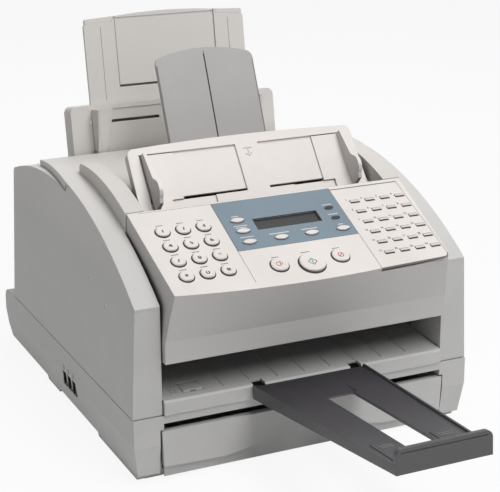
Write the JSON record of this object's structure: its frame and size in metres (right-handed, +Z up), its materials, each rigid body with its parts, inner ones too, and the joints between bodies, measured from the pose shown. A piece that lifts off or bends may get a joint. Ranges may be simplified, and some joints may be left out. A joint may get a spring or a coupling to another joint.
{
  "type": "fax machine",
  "caption": "Desktop laser fax machine with arched side rails, tilting key panel, document feeder, paper cassette, exit tray and rear paper tray.",
  "frame": {"origin": "on the ground in the middle plane, 190 mm behind the front of the base", "axes": "+X to the machine's right seen from the front, +Y to the back, +Z up; the front faces -Y"},
  "size_m": [0.38, 0.6947, 0.4044],
  "materials": {
    "grey_shell": "fine spark-eroded grain",
    "light_shell": "fine grain",
    "key_plastic": "smooth satin",
    "key_grey": "satin",
    "overlay": "satin printed sheet",
    "display": "gloss",
    "support_grey": "satin",
    "tray_dark": "fine grain",
    "rubber": "matt",
    "socket_black": "satin",
    "sheet_steel": "rolled sheet",
    "roller_coat": "smooth",
    "gear_plastic": "satin",
    "board": "lacquered"
  },
  "bodies": {
    "base": {"base_housing": "grey_shell", "rubber_feet": "rubber", "phone_jacks": "socket_black", "power_inlet": "socket_black", "left_side_cover": "grey_shell", "right_side_cover": "grey_shell", "top_cover": "grey_shell", "rear_cover": "grey_shell", "output_floor": "grey_shell", "main_frame": "sheet_steel", "toner_cartridge": "socket_black", "laser_unit": "socket_black", "drive_motor": "sheet_steel", "main_board": "board", "image_sensor": "sheet_steel", "adf_plate": "light_shell", "mp_tray": "grey_shell"},
    "cassette": {"cassette_tray": "grey_shell", "cassette_front": "grey_shell"},
    "panel": {"operation_panel": "light_shell", "panel_overlay": "overlay", "lcd_module": "display"},
    "one_touch_flap": {"one_touch_panel": "key_plastic"},
    "copy_button": {"copy_button": "key_plastic"},
    "delivery_roller": {"delivery_roller": "roller_coat"},
    "delivery_tray": {"delivery_tray": "tray_dark"},
    "document_guide_left": {"document_guide_left": "light_shell"},
    "document_guide_right": {"document_guide_right": "light_shell"},
    "document_support": {"document_support": "support_grey"},
    "function_key_far_right": {"function_key_far_right": "key_plastic"},
    "function_key_lower_left": {"function_key_lower_left": "key_plastic"},
    "function_key_lower_mid": {"function_key_lower_mid": "key_plastic"},
    "function_key_lower_right": {"function_key_lower_right": "key_plastic"},
    "function_key_middle_left": {"function_key_middle_left": "key_plastic"},
    "function_key_upper_left": {"function_key_upper_left": "key_plastic"},
    "fuser_roller": {"fuser_roller": "roller_coat"},
    "guide_pinion": {"guide_pinion": "gear_plastic"},
    "key_0": {"key_0": "key_plastic"},
    "key_1": {"key_1": "key_plastic"},
    "key_2": {"key_2": "key_plastic"},
    "key_3": {"key_3": "key_plastic"},
    "key_4": {"key_4": "key_plastic"},
    "key_5": {"key_5": "key_plastic"},
    "key_6": {"key_6": "key_plastic"},
    "key_7": {"key_7": "key_plastic"},
    "key_8": {"key_8": "key_plastic"},
    "key_9": {"key_9": "key_plastic"},
    "key_hash": {"key_hash": "key_plastic"},
    "key_star": {"key_star": "key_plastic"},
    "lift_plate": {"lift_plate": "sheet_steel"},
    "motor_gear": {"motor_gear": "gear_plastic"},
    "mp_extension": {"mp_extension": "grey_shell"},
    "one_touch_keys": {"one_touch_keys": "key_grey"},
    "paper_guide_left": {"paper_guide_left": "grey_shell"},
    "paper_guide_right": {"paper_guide_right": "grey_shell"},
    "pickup_roller": {"pickup_roller": "rubber"},
    "pressure_roller": {"pressure_roller": "roller_coat"},
    "start_button": {"start_button": "key_plastic"},
    "stop_button": {"stop_button": "key_plastic"},
    "stopper_tab": {"stopper_tab": "grey_shell"}
  },
  "joints": [
    {"name": "cassette_slide", "type": "slide", "parent": "base", "child": "cassette", "axis": [0, -1, 0], "range_m": [0, 0.25]},
    {"name": "lift_plate_tilt", "type": "hinge", "parent": "cassette", "child": "lift_plate", "pos_m": [0, -0.0394, 0.0144], "axis": [1, 0, 0], "range_deg": [-2, 0], "stiffness_Nm_per_rad": 10, "springref_deg": 5.73},
    {"name": "tray_tilt", "type": "hinge", "parent": "base", "child": "delivery_tray", "pos_m": [0, -0.1935, 0.084], "axis": [-1, 0, 0], "range_deg": [0, 25]},
    {"name": "stopper_fold", "type": "hinge", "parent": "base", "child": "stopper_tab", "pos_m": [-0.122, -0.162, 0.0863], "axis": [-1, 0, 0], "range_deg": [0, 90]},
    {"name": "panel_lift", "type": "hinge", "parent": "base", "child": "panel", "pos_m": [0, -0.0976, 0.25029], "axis": [-1, 0, 0], "range_deg": [0, 55]},
    {"name": "flap_lift", "type": "hinge", "parent": "panel", "child": "one_touch_flap", "pos_m": [0.11, -0.10291, 0.24652], "axis": [-1, 0, 0], "range_deg": [0, 85]},
    {"name": "one_touch_press", "type": "slide", "parent": "one_touch_flap", "child": "one_touch_keys", "axis": [0, 0.4179, -0.9085], "range_m": [0, 0.0006], "stiffness_N_per_m": 500},
    {"name": "copy_button_press", "type": "slide", "parent": "panel", "child": "copy_button", "axis": [0, 0.4179, -0.9085], "range_m": [0, 0.0015], "stiffness_N_per_m": 500},
    {"name": "function_key_far_right_press", "type": "slide", "parent": "panel", "child": "function_key_far_right", "axis": [0, 0.4179, -0.9085], "range_m": [0, 0.0015], "stiffness_N_per_m": 500},
    {"name": "function_key_lower_left_press", "type": "slide", "parent": "panel", "child": "function_key_lower_left", "axis": [0, 0.4179, -0.9085], "range_m": [0, 0.0015], "stiffness_N_per_m": 500},
    {"name": "function_key_lower_mid_press", "type": "slide", "parent": "panel", "child": "function_key_lower_mid", "axis": [0, 0.4179, -0.9085], "range_m": [0, 0.0015], "stiffness_N_per_m": 500},
    {"name": "function_key_lower_right_press", "type": "slide", "parent": "panel", "child": "function_key_lower_right", "axis": [0, 0.4179, -0.9085], "range_m": [0, 0.0015], "stiffness_N_per_m": 500},
    {"name": "function_key_middle_left_press", "type": "slide", "parent": "panel", "child": "function_key_middle_left", "axis": [0, 0.4179, -0.9085], "range_m": [0, 0.0015], "stiffness_N_per_m": 500},
    {"name": "function_key_upper_left_press", "type": "slide", "parent": "panel", "child": "function_key_upper_left", "axis": [0, 0.4179, -0.9085], "range_m": [0, 0.0015], "stiffness_N_per_m": 500},
    {"name": "key_0_press", "type": "slide", "parent": "panel", "child": "key_0", "axis": [0, 0.4179, -0.9085], "range_m": [0, 0.0015], "stiffness_N_per_m": 500},
    {"name": "key_1_press", "type": "slide", "parent": "panel", "child": "key_1", "axis": [0, 0.4179, -0.9085], "range_m": [0, 0.0015], "stiffness_N_per_m": 500},
    {"name": "key_2_press", "type": "slide", "parent": "panel", "child": "key_2", "axis": [0, 0.4179, -0.9085], "range_m": [0, 0.0015], "stiffness_N_per_m": 500},
    {"name": "key_3_press", "type": "slide", "parent": "panel", "child": "key_3", "axis": [0, 0.4179, -0.9085], "range_m": [0, 0.0015], "stiffness_N_per_m": 500},
    {"name": "key_4_press", "type": "slide", "parent": "panel", "child": "key_4", "axis": [0, 0.4179, -0.9085], "range_m": [0, 0.0015], "stiffness_N_per_m": 500},
    {"name": "key_5_press", "type": "slide", "parent": "panel", "child": "key_5", "axis": [0, 0.4179, -0.9085], "range_m": [0, 0.0015], "stiffness_N_per_m": 500},
    {"name": "key_6_press", "type": "slide", "parent": "panel", "child": "key_6", "axis": [0, 0.4179, -0.9085], "range_m": [0, 0.0015], "stiffness_N_per_m": 500},
    {"name": "key_7_press", "type": "slide", "parent": "panel", "child": "key_7", "axis": [0, 0.4179, -0.9085], "range_m": [0, 0.0015], "stiffness_N_per_m": 500},
    {"name": "key_8_press", "type": "slide", "parent": "panel", "child": "key_8", "axis": [0, 0.4179, -0.9085], "range_m": [0, 0.0015], "stiffness_N_per_m": 500},
    {"name": "key_9_press", "type": "slide", "parent": "panel", "child": "key_9", "axis": [0, 0.4179, -0.9085], "range_m": [0, 0.0015], "stiffness_N_per_m": 500},
    {"name": "key_hash_press", "type": "slide", "parent": "panel", "child": "key_hash", "axis": [0, 0.4179, -0.9085], "range_m": [0, 0.0015], "stiffness_N_per_m": 500},
    {"name": "key_star_press", "type": "slide", "parent": "panel", "child": "key_star", "axis": [0, 0.4179, -0.9085], "range_m": [0, 0.0015], "stiffness_N_per_m": 500},
    {"name": "start_button_press", "type": "slide", "parent": "panel", "child": "start_button", "axis": [0, 0.4179, -0.9085], "range_m": [0, 0.0015], "stiffness_N_per_m": 500},
    {"name": "stop_button_press", "type": "slide", "parent": "panel", "child": "stop_button", "axis": [0, 0.4179, -0.9085], "range_m": [0, 0.0015], "stiffness_N_per_m": 500},
    {"name": "guide_left_slide", "type": "slide", "parent": "base", "child": "document_guide_left", "axis": [1, 0, 0], "range_m": [0, 0.045]},
    {"name": "guide_right_slide", "type": "slide", "parent": "base", "child": "document_guide_right", "axis": [-1, 0, 0], "range_m": [0, 0.045]},
    {"name": "guide_pinion_spin", "type": "hinge", "parent": "base", "child": "guide_pinion", "pos_m": [0, -0.04468, 0.2597], "axis": [0, -0.788, 0.6157], "range_deg": [0, 325]},
    {"name": "support_slide", "type": "slide", "parent": "base", "child": "document_support", "axis": [0, -0.4067, -0.9135], "range_m": [0, 0.035]},
    {"name": "extension_slide", "type": "slide", "parent": "base", "child": "mp_extension", "axis": [0, -0.1736, -0.9848], "range_m": [0, 0.06]},
    {"name": "paper_guide_left_slide", "type": "slide", "parent": "base", "child": "paper_guide_left", "axis": [1, 0, 0], "range_m": [0, 0.045]},
    {"name": "paper_guide_right_slide", "type": "slide", "parent": "base", "child": "paper_guide_right", "axis": [-1, 0, 0], "range_m": [0, 0.045]},
    {"name": "fuser_spin", "type": "hinge", "parent": "base", "child": "fuser_roller", "pos_m": [0, -0.06, 0.122], "axis": [1, 0, 0], "continuous": true},
    {"name": "pressure_spin", "type": "hinge", "parent": "base", "child": "pressure_roller", "pos_m": [0, -0.06, 0.0976], "axis": [1, 0, 0], "continuous": true},
    {"name": "delivery_spin", "type": "hinge", "parent": "base", "child": "delivery_roller", "pos_m": [0, -0.08105, 0.11434], "axis": [1, 0, 0], "continuous": true},
    {"name": "motor_gear_spin", "type": "hinge", "parent": "base", "child": "motor_gear", "pos_m": [0, -0.0508, 0.13794], "axis": [1, 0, 0], "continuous": true},
    {"name": "pickup_spin", "type": "hinge", "parent": "base", "child": "pickup_roller", "pos_m": [0, 0.105, 0.079], "axis": [1, 0, 0], "continuous": true}
  ],
  "couplings": [
    {"joint": "guide_right_slide", "follows": "guide_left_slide", "ratio": 1},
    {"joint": "guide_pinion_spin", "follows": "guide_left_slide", "rad_per_m": 125},
    {"joint": "paper_guide_right_slide", "follows": "paper_guide_left_slide", "ratio": 1},
    {"joint": "pressure_spin", "follows": "fuser_spin", "ratio": -1},
    {"joint": "delivery_spin", "follows": "fuser_spin", "ratio": -1.2},
    {"joint": "motor_gear_spin", "follows": "fuser_spin", "ratio": -2}
  ]
}
